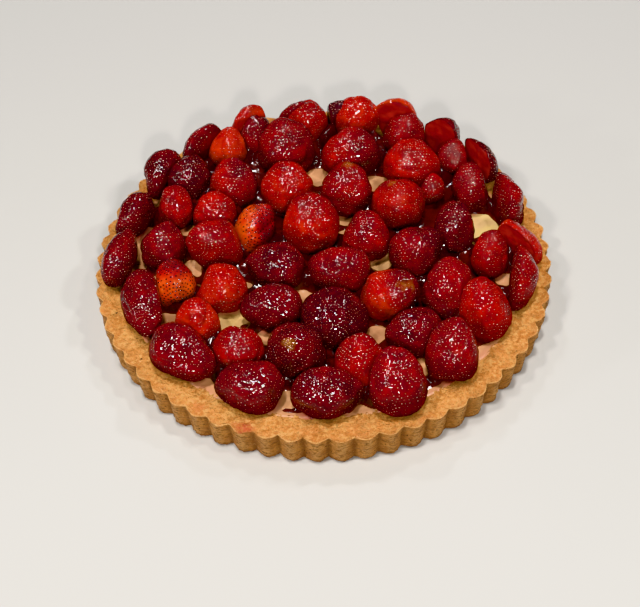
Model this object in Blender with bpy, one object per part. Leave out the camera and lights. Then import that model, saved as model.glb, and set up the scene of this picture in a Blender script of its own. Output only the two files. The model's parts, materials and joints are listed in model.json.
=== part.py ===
"""Round fruit tart: a fluted shortcrust case filled with custard and topped with strawberries.

Metres, +Z up. The origin is the centre of the flat base, and the front of the tart faces -Y.
Every piece is one closed solid, and touching pieces are kept a hair's breadth apart.
"""

import math
from collections import namedtuple

import bmesh
import bpy
import numpy as np
from mathutils import Vector

MM = 0.001

# Case
CASE_BASE_RADIUS = 117.4 * MM
CASE_TOP_RADIUS = 120.0 * MM
CASE_HEIGHT = 20.0 * MM
FLUTES = 60
COLUMNS_PER_FLUTE = 4
FLUTE_DEPTH = 2.6 * MM
RIM_OUTER_Z = 19.2 * MM
RIM_CREST_RADIUS = 115.5 * MM
RIM_INNER_RADIUS = 104.0 * MM
RIM_INNER_Z = 18.9 * MM
CAVITY_FLOOR_RADIUS = 101.0 * MM
CAVITY_FLOOR_Z = 4.5 * MM

# Custard
CUSTARD_TOP_Z = 17.8 * MM
CUSTARD_COLUMNS = 72
GAP = 0.35 * MM

# Strawberries
BERRY_AROUND = 10
BERRY_RINGS = 5
BERRY_TAPER = 0.26
BERRY_SINK = 2.0 * MM
FACET_ALLOWANCE = 1.035
CUT_FACE_LEAN = 0.2

COLOURS = {
    "crust": (0.62, 0.36, 0.15),
    "custard": (0.85, 0.66, 0.38),
    "dark": (0.17, 0.008, 0.012),
    "red": (0.34, 0.010, 0.010),
    "bright": (0.52, 0.014, 0.010),
    "orange": (0.60, 0.060, 0.010),
}
ROUGHNESS = {"crust": 0.75, "custard": 0.35}

# One strawberry: where its middle stands (mm), its length from stalk end to tip, its width
# and thickness (mm), where the tip points (turn from +X, rise above level, degrees), its tone,
# and for a halved berry the way its cut face looks and how far that face is from the axis.
Berry = namedtuple("Berry", "x y long wide thick turn rise tone face offset", defaults=(None, 0))

BERRIES = [
    # Along the front rim, left to right.
    Berry(x=-69, y=-69, long=37, wide=27, thick=24, turn=-40, rise=0, tone="dark"),
    Berry(x=-38, y=-90, long=35, wide=26, thick=23, turn=170, rise=0, tone="dark"),
    Berry(x=1, y=-96, long=36, wide=26, thick=24, turn=0, rise=0, tone="red"),
    Berry(x=33, y=-93, long=33, wide=28, thick=25, turn=95, rise=50, tone="red"),
    Berry(x=61, y=-74, long=33, wide=26, thick=24, turn=88, rise=50, tone="red"),
    Berry(x=79, y=-45, long=34, wide=26, thick=24, turn=100, rise=35, tone="bright"),
    # Up the right side and round the back.
    Berry(x=96, y=-23, long=34, wide=27, thick=25, turn=82, rise=5, tone="red", face=172, offset=-1),
    Berry(x=100, y=-4, long=31, wide=25, thick=24, turn=-45, rise=0, tone="bright", face=225),
    Berry(x=95, y=31, long=33, wide=26, thick=25, turn=98, rise=5, tone="dark", face=188),
    Berry(x=85, y=61, long=28, wide=20, thick=24, turn=115, rise=5, tone="dark", face=205),
    Berry(x=66, y=80, long=22, wide=26, thick=25, turn=140, rise=0, tone="dark", face=230),
    Berry(x=41, y=96, long=27, wide=27, thick=25, turn=165, rise=0, tone="orange", face=255),
    Berry(x=17, y=99, long=28, wide=27, thick=25, turn=25, rise=0, tone="red", face=295),
    Berry(x=-12, y=98, long=22, wide=25, thick=24, turn=190, rise=0, tone="dark", face=280),
    Berry(x=-39, y=93, long=21, wide=27, thick=26, turn=195, rise=20, tone="red", face=285, offset=1),
    Berry(x=-63, y=78, long=27, wide=26, thick=25, turn=218, rise=0, tone="dark", face=308),
    # Down the left side.
    Berry(x=-86, y=58, long=30, wide=22, thick=24, turn=245, rise=0, tone="dark"),
    Berry(x=-99, y=28, long=30, wide=18, thick=22, turn=250, rise=0, tone="dark"),
    Berry(x=-105, y=-5, long=30, wide=17, thick=22, turn=270, rise=0, tone="dark"),
    Berry(x=-91, y=-36, long=42, wide=22, thick=22, turn=280, rise=0, tone="dark"),
    # Second ring, front.
    Berry(x=16, y=-77, long=28, wide=27, thick=25, turn=90, rise=70, tone="orange"),
    Berry(x=43, y=-59, long=29, wide=25, thick=23, turn=195, rise=5, tone="dark"),
    Berry(x=63, y=-31, long=33, wide=26, thick=24, turn=75, rise=30, tone="dark"),
    Berry(x=86, y=-7, long=26, wide=19, thick=20, turn=90, rise=60, tone="red"),
    Berry(x=34, y=-35, long=34, wide=27, thick=25, turn=-34, rise=36, tone="orange"),
    Berry(x=49, y=-3, long=29, wide=28, thick=25, turn=30, rise=10, tone="dark"),
    Berry(x=7, y=-15, long=34, wide=25, thick=24, turn=180, rise=0, tone="dark"),
    Berry(x=6, y=-49, long=30, wide=29, thick=25, turn=258, rise=0, tone="dark"),
    Berry(x=-15, y=-71, long=31, wide=29, thick=27, turn=250, rise=55, tone="red"),
    Berry(x=-43, y=-65, long=22, wide=26, thick=25, turn=90, rise=60, tone="red"),
    Berry(x=-64, y=-47, long=23, wide=23, thick=22, turn=90, rise=60, tone="bright"),
    # Left of the middle.
    Berry(x=-77, y=-20, long=27, wide=22, thick=22, turn=100, rise=10, tone="orange"),
    Berry(x=-52, y=-26, long=25, wide=26, thick=25, turn=90, rise=30, tone="orange"),
    Berry(x=-27, y=-40, long=32, wide=25, thick=24, turn=180, rise=0, tone="dark"),
    Berry(x=-26, y=-11, long=33, wide=26, thick=24, turn=170, rise=5, tone="dark"),
    Berry(x=-57, y=4, long=31, wide=26, thick=25, turn=200, rise=30, tone="red"),
    Berry(x=-84, y=6, long=26, wide=24, thick=23, turn=90, rise=50, tone="dark"),
    Berry(x=-35, y=18, long=30, wide=20, thick=21, turn=60, rise=30, tone="orange"),
    Berry(x=-57, y=31, long=22, wide=24, thick=22, turn=90, rise=60, tone="bright"),
    Berry(x=-78, y=35, long=25, wide=19, thick=21, turn=95, rise=50, tone="bright"),
    Berry(x=-72, y=57, long=26, wide=25, thick=23, turn=90, rise=50, tone="dark"),
    Berry(x=-47, y=51, long=27, wide=26, thick=25, turn=90, rise=45, tone="red"),
    # Middle and right.
    Berry(x=-6, y=17, long=32, wide=30, thick=28, turn=90, rise=60, tone="bright"),
    Berry(x=23, y=8, long=26, wide=25, thick=24, turn=90, rise=50, tone="red"),
    Berry(x=69, y=13, long=30, wide=21, thick=22, turn=80, rise=40, tone="dark"),
    Berry(x=41, y=29, long=30, wide=28, thick=26, turn=270, rise=30, tone="bright"),
    Berry(x=-18, y=46, long=28, wide=29, thick=26, turn=90, rise=60, tone="bright"),
    Berry(x=14, y=43, long=29, wide=27, thick=26, turn=75, rise=50, tone="orange"),
    Berry(x=50, y=62, long=27, wide=30, thick=26, turn=90, rise=50, tone="bright"),
    Berry(x=80, y=42, long=27, wide=20, thick=22, turn=90, rise=45, tone="red"),
    Berry(x=73, y=68, long=21, wide=18, thick=20, turn=90, rise=50, tone="red"),
    # Behind the middle.
    Berry(x=48, y=87, long=24, wide=24, thick=23, turn=85, rise=60, tone="red"),
    Berry(x=17, y=72, long=28, wide=32, thick=28, turn=90, rise=60, tone="red"),
    Berry(x=-19, y=77, long=31, wide=32, thick=28, turn=90, rise=60, tone="dark"),
    Berry(x=-51, y=81, long=23, wide=21, thick=22, turn=80, rise=50, tone="orange"),
    Berry(x=-35, y=90, long=24, wide=18, thick=20, turn=90, rise=60, tone="dark"),
    Berry(x=-3, y=98, long=22, wide=24, thick=22, turn=90, rise=50, tone="bright"),
    Berry(x=25, y=100, long=23, wide=21, thick=22, turn=90, rise=50, tone="bright"),
]


def clear_scene():
    for thing in list(bpy.data.objects):
        bpy.data.objects.remove(thing, do_unlink=True)


def make_materials():
    made = {}
    for name, colour in COLOURS.items():
        slot = name if name in ROUGHNESS else "berry_" + name
        material = bpy.data.materials.new(slot)
        material.use_nodes = True
        surface = material.node_tree.nodes["Principled BSDF"]
        surface.inputs["Base Color"].default_value = (*colour, 1)
        surface.inputs["Roughness"].default_value = ROUGHNESS.get(name, 0.15)
        made[name] = material
    return made


def add_solid(name, bm, material):
    bmesh.ops.recalc_face_normals(bm, faces=bm.faces)
    bmesh.ops.triangulate(bm, faces=bm.faces)
    mesh = bpy.data.meshes.new(name)
    bm.to_mesh(mesh)
    bm.free()
    mesh.materials.append(material)
    thing = bpy.data.objects.new(name, mesh)
    bpy.context.scene.collection.objects.link(thing)
    return thing


def bridge(bm, lower, upper):
    """Joins two rings of equal count with quads."""
    count = len(lower)
    for i in range(count):
        j = (i + 1) % count
        bm.faces.new((lower[i], lower[j], upper[j], upper[i]))


def ring(bm, count, radius_at, z):
    points = []
    for i in range(count):
        angle = math.tau * i / count - math.pi / 2
        radius = radius_at(i)
        points.append(bm.verts.new((radius * math.cos(angle), radius * math.sin(angle), z)))
    return points


# --- Case ---


def flute_inset(column):
    """How far a column of the wall stands in from the flute's crown: sharp valley, round crown."""
    phase = (column % COLUMNS_PER_FLUTE) / COLUMNS_PER_FLUTE
    return FLUTE_DEPTH * (1 - math.sin(math.pi * phase) ** 0.8)


def make_case(material):
    count = FLUTES * COLUMNS_PER_FLUTE
    # Radius, height, and how much of the fluting shows at that ring.
    profile = [
        (CASE_BASE_RADIUS, 0.0, 1.0),
        (CASE_TOP_RADIUS, RIM_OUTER_Z, 1.0),
        (RIM_CREST_RADIUS, CASE_HEIGHT, 0.25),
        (RIM_INNER_RADIUS, RIM_INNER_Z, 0.0),
        (CAVITY_FLOOR_RADIUS, CAVITY_FLOOR_Z, 0.0),
    ]
    bm = bmesh.new()
    rings = []
    for radius, z, share in profile:
        rings.append(ring(bm, count, lambda i, r=radius, s=share: r - s * flute_inset(i), z))
    for lower, upper in zip(rings, rings[1:]):
        bridge(bm, lower, upper)
    bm.faces.new(list(reversed(rings[0])))
    bm.faces.new(rings[-1])
    return add_solid("crust", bm, material)


# --- Custard ---


def make_custard(material):
    slope = (RIM_INNER_RADIUS - CAVITY_FLOOR_RADIUS) / (RIM_INNER_Z - CAVITY_FLOOR_Z)
    low_z = CAVITY_FLOOR_Z + GAP
    low = CAVITY_FLOOR_RADIUS + slope * (low_z - CAVITY_FLOOR_Z) - GAP
    top = CAVITY_FLOOR_RADIUS + slope * (CUSTARD_TOP_Z - CAVITY_FLOOR_Z) - GAP
    bm = bmesh.new()
    # The case's facets cut a little inside its circle, so the filling is drawn in to match.
    inset = math.cos(math.pi / (FLUTES * COLUMNS_PER_FLUTE))
    bottom = ring(bm, CUSTARD_COLUMNS, lambda i: low * inset, low_z)
    upper = ring(bm, CUSTARD_COLUMNS, lambda i: top * inset, CUSTARD_TOP_Z)
    bridge(bm, bottom, upper)
    bm.faces.new(list(reversed(bottom)))
    bm.faces.new(upper)
    return add_solid("custard", bm, material)


# --- Strawberries ---


def berry_axes(berry):
    turn = math.radians(berry.turn)
    rise = math.radians(berry.rise)
    axis = Vector((math.cos(turn) * math.cos(rise), math.sin(turn) * math.cos(rise), math.sin(rise)))
    side = Vector((-math.sin(turn), math.cos(turn), 0))
    return axis, side, axis.cross(side)


def rim_plane(x, y):
    """A plane just over the rim at this side of the tart, as (point, upward normal)."""
    out = Vector((x, y, 0)).normalized()
    slope = (CASE_HEIGHT - RIM_INNER_Z) / (RIM_CREST_RADIUS - RIM_INNER_RADIUS)
    point = out * RIM_INNER_RADIUS + Vector((0, 0, RIM_INNER_Z + 1.6 * GAP))
    return point, (Vector((0, 0, 1)) - out * slope).normalized()


def ground_height(x, y):
    point, up = rim_plane(x, y)
    over_rim = point.z - ((x - point.x) * up.x + (y - point.y) * up.y) / up.z
    return max(CUSTARD_TOP_Z + GAP, over_rim)


def keep_above(bm, point, up):
    """Cuts off what is below a plane and closes the cut."""
    geometry = bm.verts[:] + bm.edges[:] + bm.faces[:]
    cut = bmesh.ops.bisect_plane(
        bm, geom=geometry, dist=1e-7, plane_co=point, plane_no=up, clear_inner=True
    )
    edges = [item for item in cut["geom_cut"] if isinstance(item, bmesh.types.BMEdge)]
    if len(edges) > 2:
        bmesh.ops.contextual_create(bm, geom=edges)


def berry_body(berry):
    """A plump cone with round ends, stalk end behind and tip in front, lying on its ground."""
    axes = berry_axes(berry)
    half = (berry.long * MM / 2, berry.wide * MM / 2, berry.thick * MM / 2)
    widest = max(
        math.sin(t / 50) * (1 - BERRY_TAPER * math.cos(t / 50)) for t in range(1, 157)
    )
    bm = bmesh.new()

    def place(along, across, over):
        return axes[0] * along + axes[1] * across + axes[2] * over

    tip = bm.verts.new(place(half[0], 0, 0))
    rings = []
    for k in range(1, BERRY_RINGS + 1):
        phi = math.pi * k / (BERRY_RINGS + 1)
        girth = FACET_ALLOWANCE * math.sin(phi) * (1 - BERRY_TAPER * math.cos(phi)) / widest
        points = []
        for i in range(BERRY_AROUND):
            psi = math.tau * (i + 0.5 * (k % 2)) / BERRY_AROUND
            points.append(bm.verts.new(place(
                half[0] * math.cos(phi),
                half[1] * girth * math.cos(psi),
                half[2] * girth * math.sin(psi),
            )))
        rings.append(points)
    tail = bm.verts.new(place(-half[0], 0, 0))
    for a, b in zip(rings, rings[1:]):
        bridge(bm, a, b)
    for i in range(BERRY_AROUND):
        j = (i + 1) % BERRY_AROUND
        bm.faces.new((tip, rings[0][j], rings[0][i]))
        bm.faces.new((tail, rings[-1][i], rings[-1][j]))
    bmesh.ops.recalc_face_normals(bm, faces=bm.faces)

    x, y = berry.x * MM, berry.y * MM
    lowest = min(vert.co.z for vert in bm.verts)
    middle = Vector((x, y, ground_height(x, y) - BERRY_SINK - lowest))
    bmesh.ops.translate(bm, verts=bm.verts, vec=middle)
    if berry.face is not None:
        look = math.radians(berry.face)
        normal = Vector((math.cos(look), math.sin(look), CUT_FACE_LEAN)).normalized()
        keep_above(bm, middle + normal * berry.offset * MM, -normal)
    keep_above(bm, Vector((0, 0, CUSTARD_TOP_Z + GAP)), Vector((0, 0, 1)))
    keep_above(bm, *rim_plane(x, y))
    return bm


def spread_directions():
    """Level and slightly tilted directions all round."""
    found = []
    for lean in (-20, 0, 20):
        for turn in range(0, 360, 6):
            a, b = math.radians(turn), math.radians(lean)
            found.append((math.cos(a) * math.cos(b), math.sin(a) * math.cos(b), math.sin(b)))
    return np.array(found)


def part_neighbours(bodies):
    """Trims each pair that would run into each other with one plane across the shallowest overlap."""
    ways = spread_directions()
    for i, first in enumerate(bodies):
        for second in bodies[i + 1:]:
            a = np.array([vert.co[:] for vert in first.verts])
            b = np.array([vert.co[:] for vert in second.verts])
            overlap = (a @ ways.T).max(axis=0) - (b @ ways.T).min(axis=0)
            best = int(overlap.argmin())
            if overlap[best] < -GAP:
                continue
            normal = Vector(ways[best])
            level = float((a @ ways[best]).max() - overlap[best] / 2)
            keep_above(first, normal * (level - GAP / 2), -normal)
            keep_above(second, normal * (level + GAP / 2), normal)


def make_berries(materials):
    bodies = [berry_body(berry) for berry in BERRIES]
    part_neighbours(bodies)
    for number, (berry, bm) in enumerate(zip(BERRIES, bodies), start=1):
        bmesh.ops.remove_doubles(bm, verts=bm.verts, dist=0.02 * MM)
        add_solid(f"berry_{number:02d}", bm, materials[berry.tone])


def main():
    clear_scene()
    materials = make_materials()
    make_case(materials["crust"])
    make_custard(materials["custard"])
    make_berries(materials)
    count = sum(len(thing.data.polygons) for thing in bpy.data.objects)
    print(f"{len(bpy.data.objects)} solids, {count} triangles")


main()
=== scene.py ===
# %% [markdown]
# # A glazed strawberry tart
# The real thing is a fluted shortcrust case baked in a tin, filled with custard, and crowded
# with whole and halved strawberries under a clear fruit glaze. The solid model already says
# where everything is. This lesson dresses each solid: it rebuilds the case, the custard and
# every berry as a finer mesh in the same place, and gives each one a procedural finish.

# %% The solid model is the frame that everything hangs on
import json
import math
import random

import bpy
import numpy as np
from mathutils import Matrix, Vector

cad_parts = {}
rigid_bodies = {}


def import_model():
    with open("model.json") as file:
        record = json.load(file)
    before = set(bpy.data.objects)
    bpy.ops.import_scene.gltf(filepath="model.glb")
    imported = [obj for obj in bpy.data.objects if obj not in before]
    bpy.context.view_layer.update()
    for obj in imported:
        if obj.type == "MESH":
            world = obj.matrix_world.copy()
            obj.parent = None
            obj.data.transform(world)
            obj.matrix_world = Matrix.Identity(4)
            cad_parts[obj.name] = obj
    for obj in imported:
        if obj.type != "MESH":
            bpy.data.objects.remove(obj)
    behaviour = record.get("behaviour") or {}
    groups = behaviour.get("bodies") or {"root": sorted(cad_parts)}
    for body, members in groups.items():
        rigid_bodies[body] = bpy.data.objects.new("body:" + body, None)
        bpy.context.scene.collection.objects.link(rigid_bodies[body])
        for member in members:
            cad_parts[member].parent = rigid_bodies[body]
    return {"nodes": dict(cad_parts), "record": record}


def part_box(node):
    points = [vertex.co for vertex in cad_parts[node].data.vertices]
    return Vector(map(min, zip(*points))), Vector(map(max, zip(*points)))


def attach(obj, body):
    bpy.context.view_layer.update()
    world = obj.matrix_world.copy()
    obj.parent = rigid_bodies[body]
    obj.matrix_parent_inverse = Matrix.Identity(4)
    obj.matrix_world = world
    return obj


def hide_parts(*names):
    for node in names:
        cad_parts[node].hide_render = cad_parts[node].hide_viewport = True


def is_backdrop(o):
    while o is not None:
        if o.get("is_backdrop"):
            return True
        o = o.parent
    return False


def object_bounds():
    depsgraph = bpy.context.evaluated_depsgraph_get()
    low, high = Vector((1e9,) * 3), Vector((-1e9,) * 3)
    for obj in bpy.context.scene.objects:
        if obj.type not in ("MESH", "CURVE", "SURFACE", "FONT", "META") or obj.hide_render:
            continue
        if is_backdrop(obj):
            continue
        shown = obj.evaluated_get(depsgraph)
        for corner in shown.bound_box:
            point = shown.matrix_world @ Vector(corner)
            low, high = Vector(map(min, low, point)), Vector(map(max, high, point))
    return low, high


for thing in list(bpy.data.objects):
    bpy.data.objects.remove(thing, do_unlink=True)

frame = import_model()
CAD_LOW, CAD_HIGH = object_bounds()
MM = 0.001
SLOT_OF = {part["node"]: part["material_slot"] for part in frame["record"]["subparts"]}
BERRY_NODES = sorted(name for name in frame["nodes"] if name.startswith("berry_"))
print("solids:", len(frame["nodes"]), "berries:", len(BERRY_NODES))

# %% [markdown]
# ## Camera
# The tart is seen from above and in front, about 47 degrees over the table, from roughly
# arm's length with a longish lens, so the far rim is only a little smaller than the near
# one. A camera can be aimed with constraints, but building its matrix from three direction
# vectors says exactly which way is up, including a slight tilt of the hand.

# %% Camera
CAMERA_HEIGHT_ANGLE = math.radians(47.27)
CAMERA_TILT = math.radians(-1.70)
CAMERA_DISTANCE = 0.800
LENS_MM = 84.4


def make_camera():
    forward = Vector((0, math.cos(CAMERA_HEIGHT_ANGLE), -math.sin(CAMERA_HEIGHT_ANGLE)))
    right = Vector((1, 0, 0))
    up = right.cross(forward)
    c, s = math.cos(CAMERA_TILT), math.sin(CAMERA_TILT)
    right, up = right * c + up * s, up * c - right * s
    camera = bpy.data.objects.new("camera", bpy.data.cameras.new("camera"))
    camera.matrix_world = Matrix((
        (right.x, up.x, -forward.x, -forward.x * CAMERA_DISTANCE),
        (right.y, up.y, -forward.y, -forward.y * CAMERA_DISTANCE),
        (right.z, up.z, -forward.z, -forward.z * CAMERA_DISTANCE),
        (0, 0, 0, 1),
    ))
    camera.data.lens = LENS_MM
    camera.data.shift_x = -0.0062
    camera.data.shift_y = -0.0292
    camera.data.clip_start = 0.01
    bpy.context.scene.collection.objects.link(camera)
    bpy.context.scene.camera = camera
    return camera


camera = make_camera()
print("camera at", [round(v, 3) for v in camera.matrix_world.translation])

# %% [markdown]
# ## Light and table
# Food is usually lit by a big soft window or softbox behind and to one side, so that wet
# things glint, with a weaker light near the camera to open the shadows. Area lights do
# this: their size sets how soft the shadows are and how large each glint is. The floor is
# a plain pale table and isn't part of the tart.

# %% Lights, world and floor


def add_area_light(name, size, power, place, colour=(1, 1, 1), aim=(0, 0, 0.02)):
    data = bpy.data.lights.new(name, "AREA")
    data.shape = "DISK"
    data.size = size
    data.energy = power
    data.color = colour
    light = bpy.data.objects.new(name, data)
    way = Vector(aim) - Vector(place)
    light.matrix_world = Matrix.Translation(Vector(place)) @ way.to_track_quat("-Z", "Y").to_matrix().to_4x4()
    bpy.context.scene.collection.objects.link(light)
    return light


def add_far_light(name, angle, strength, place, colour):
    data = bpy.data.lights.new(name, "SUN")
    data.angle = angle
    data.energy = strength
    data.color = colour
    light = bpy.data.objects.new(name, data)
    light.matrix_world = (-Vector(place)).to_track_quat("-Z", "Y").to_matrix().to_4x4()
    bpy.context.scene.collection.objects.link(light)
    return light


# The main light is far off, so the whole table is lit evenly.
add_far_light("zenith", math.radians(6), 1.54, (-0.06, -0.10, 1.15), (1.0, 0.98, 0.95))
add_area_light("window", 0.10, 3.0, (-0.42, -0.34, 0.86), (1.0, 0.97, 0.93))
add_area_light("front", 0.07, 3.9, (0.05, -0.80, 0.62), (1.0, 0.96, 0.90))
add_area_light("low", 0.05, 0.8, (-0.78, -0.35, 0.42), (1.0, 0.97, 0.94))
add_area_light("right", 0.08, 2.1, (0.52, -0.25, 0.85), (1.0, 0.98, 0.96))
add_area_light("back_left", 0.08, 1.4, (-0.30, 0.45, 0.90), (1.0, 0.98, 0.96))
add_area_light("back_right", 0.08, 1.4, (0.40, 0.42, 0.85), (1.0, 0.98, 0.96))

world = bpy.data.worlds.new("studio")
bpy.context.scene.world = world
world.use_nodes = True
world.node_tree.nodes["Background"].inputs["Color"].default_value = (0.80, 0.87, 1.0, 1)
world.node_tree.nodes["Background"].inputs["Strength"].default_value = 0.02
# A neutral view keeps deep reds deep, where the default one greys them.
bpy.context.scene.view_settings.view_transform = "Khronos PBR Neutral"


def make_floor():
    half = 8.0
    mesh = bpy.data.meshes.new("floor")
    mesh.from_pydata([(-half, -half, 0), (half, -half, 0), (half, half, 0), (-half, half, 0)], [], [(0, 1, 2, 3)])
    floor = bpy.data.objects.new("floor", mesh)
    bpy.context.scene.collection.objects.link(floor)
    material = bpy.data.materials.new("pale_table")
    material.use_nodes = True
    surface = material.node_tree.nodes["Principled BSDF"]
    surface.inputs["Base Color"].default_value = (0.58, 0.57, 0.55, 1)
    surface.inputs["Roughness"].default_value = 0.7
    mesh.materials.append(material)
    floor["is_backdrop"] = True
    return floor


floor = make_floor()

# %% [markdown]
# ## A small language for node trees
# Node trees written link by link are hard to read. Here one class stands for a value that
# flows through a tree, and Python's own operators add the Math nodes. The same class works
# in a material and in a geometry tree, because both use the same Math and texture nodes.

# %% Values that flow through a node tree


class Flow:
    """A value in a node tree. Arithmetic on it adds Math nodes."""

    def __init__(self, net, socket):
        self.net = net
        self.socket = socket

    def math(self, operation, *others):
        values = {index: value for index, value in enumerate((self, *others))}
        return self.net.make("ShaderNodeMath", {"operation": operation}, values)

    def __add__(self, other):
        return self.math("ADD", other)

    def __sub__(self, other):
        return self.math("SUBTRACT", other)

    def __mul__(self, other):
        return self.math("MULTIPLY", other)

    def __truediv__(self, other):
        return self.math("DIVIDE", other)

    def __pow__(self, other):
        return self.math("POWER", other)

    def __neg__(self):
        return self.math("MULTIPLY", -1.0)

    __radd__ = __add__
    __rmul__ = __mul__

    def __rsub__(self, other):
        return self.net.make("ShaderNodeMath", {"operation": "SUBTRACT"}, {0: other, 1: self})

    def over(self, other):
        return self.math("MAXIMUM", other)

    def under(self, other):
        return self.math("MINIMUM", other)

    def clamp(self):
        return self.net.make("ShaderNodeClamp", {}, {"Value": self})

    def step(self, low, high):
        """0 below low, 1 above high, and smooth between; low may be the larger."""
        flip = low > high
        ends = (high, low, 1.0, 0.0) if flip else (low, high, 0.0, 1.0)
        names = ("From Min", "From Max", "To Min", "To Max")
        values = {"Value": self, **dict(zip(names, ends))}
        return self.net.make("ShaderNodeMapRange", {"interpolation_type": "SMOOTHSTEP"}, values)


class Net:
    """A node tree that is being written."""

    def __init__(self, tree):
        self.tree = tree

    def node(self, kind, settings=None, values=None):
        made = self.tree.nodes.new(kind)
        for name, setting in (settings or {}).items():
            if name == "stops":
                ramp = made.color_ramp.elements
                while len(ramp) < len(setting):
                    ramp.new(0.5)
                for element, (place, colour) in zip(ramp, setting):
                    element.position = place
                    element.color = (*colour, 1)
            else:
                setattr(made, name, setting)
        for name, value in (values or {}).items():
            if isinstance(value, Flow):
                self.tree.links.new(value.socket, made.inputs[name])
            else:
                made.inputs[name].default_value = value
        return made

    def make(self, kind, settings=None, values=None, out=0):
        return Flow(self, self.node(kind, settings, values).outputs[out])

    def noise(self, where, scale, detail=2.0, rough=0.5):
        values = {"Vector": where, "Scale": scale, "Detail": detail, "Roughness": rough}
        return self.make("ShaderNodeTexNoise", {}, values)

    def mix(self, share, first, second, blend="MIX"):
        """Mixes two colours."""
        settings = {"data_type": "RGBA", "blend_type": blend}
        values = {0: share, 6: first, 7: second}
        for key in (6, 7):
            if isinstance(values[key], tuple):
                values[key] = (*values[key], 1.0)[:4]
        return self.make("ShaderNodeMix", settings, values, out=2)

    def split(self, where):
        node = self.node("ShaderNodeSeparateXYZ", {}, {0: where})
        return [Flow(self, out) for out in node.outputs]

    def attribute(self, name, out="Fac"):
        return self.make("ShaderNodeAttribute", {"attribute_name": name}, {}, out)

    def stretch(self, where, factors):
        return self.make("ShaderNodeVectorMath", {"operation": "MULTIPLY"}, {0: where, 1: factors})


def new_material(name):
    """A material with its node net, its surface node, and its Object coordinates."""
    material = bpy.data.materials.new(name)
    material.use_nodes = True
    net = Net(material.node_tree)
    surface = material.node_tree.nodes["Principled BSDF"]
    where = net.make("ShaderNodeTexCoord", {}, {}, "Object")
    return material, net, surface, where


def connect(net, surface, **flows):
    for name, flow in flows.items():
        net.tree.links.new(flow.socket, surface.inputs[name.replace("_", " ")])


def fix(surface, **numbers):
    for name, number in numbers.items():
        surface.inputs[name.replace("_", " ")].default_value = number


# %% [markdown]
# ## Meshes from arrays
# Each dense piece is laid out as rows of points in numpy and joined into quads. A ring of
# points that closes on itself and rows that end in a single pole point need care, so two
# helpers do it once for everything round.

# %% Helpers for meshes made of rings


def ring_faces(rings, around):
    """Quads between closed rings of points, first ring first, each turning the same way."""
    base = np.arange(rings - 1)[:, None] * around
    here = np.arange(around)[None, :]
    after = (here + 1) % around
    quads = np.stack([base + here, base + after, base + around + after, base + around + here], axis=-1)
    return quads.reshape(-1, 4)


def object_from(name, points, faces, attributes=None, smooth=True):
    mesh = bpy.data.meshes.new(name)
    mesh.from_pydata(points.tolist(), [], [list(map(int, face)) for face in faces])
    for label, values in (attributes or {}).items():
        layer = mesh.attributes.new(label, "FLOAT", "POINT")
        layer.data.foreach_set("value", np.asarray(values, np.float32))
    mesh.polygons.foreach_set("use_smooth", [smooth] * len(mesh.polygons))
    mesh.update()
    made = bpy.data.objects.new(name, mesh)
    bpy.context.scene.collection.objects.link(made)
    return made


def triangle_count(thing):
    return sum(len(face.vertices) - 2 for face in thing.data.polygons)


# %% [markdown]
# ## Smooth, repeatable randomness
# Nothing natural is a perfect figure. This noise is a lattice of fixed random numbers,
# blended smoothly, so the same place always gets the same value.

# %% Lattice noise for points
LATTICE = np.random.default_rng(7).random((64, 64, 64)) * 2 - 1


def lattice_noise(points, size):
    """Smooth values from -1 to 1 that change over about `size` metres."""
    spot = np.asarray(points) / size + 1000.5
    cell = np.floor(spot).astype(int)
    f = spot - cell
    f = f * f * (3 - 2 * f)
    total = 0
    for dx in (0, 1):
        for dy in (0, 1):
            for dz in (0, 1):
                corner = LATTICE[(cell[..., 0] + dx) % 64, (cell[..., 1] + dy) % 64, (cell[..., 2] + dz) % 64]
                weight = (
                    (f[..., 0] if dx else 1 - f[..., 0])
                    * (f[..., 1] if dy else 1 - f[..., 1])
                    * (f[..., 2] if dz else 1 - f[..., 2])
                )
                total = total + corner * weight
    return total


# %% [markdown]
# ## The case
# A fluted tin leaves sixty round ribs on the wall. The rim was trimmed flat, so its top is
# sandy and a little uneven, browner at the edge, and the wall is paler with fine sideways
# wrinkles. The rule is simple, so a plain turned shape is made first, and a geometry tree
# then presses in the flutes and the crumb from named sizes.

# %% Sizes of the case, read from the solid
crust_low, crust_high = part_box("crust")
custard_low, custard_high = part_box("custard")
CASE_RADIUS = (crust_high.x - crust_low.x) / 2
CASE_HEIGHT = crust_high.z
CUSTARD_RADIUS = (custard_high.x - custard_low.x) / 2
CUSTARD_TOP = custard_high.z
RIM_INNER = CUSTARD_RADIUS + 0.7 * MM
FLUTES = 60
FLUTE_DEPTH = 3.1 * MM
CASE_COLUMNS = FLUTES * 22
print("case radius", round(CASE_RADIUS, 4), "custard top", round(CUSTARD_TOP, 4))


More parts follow.
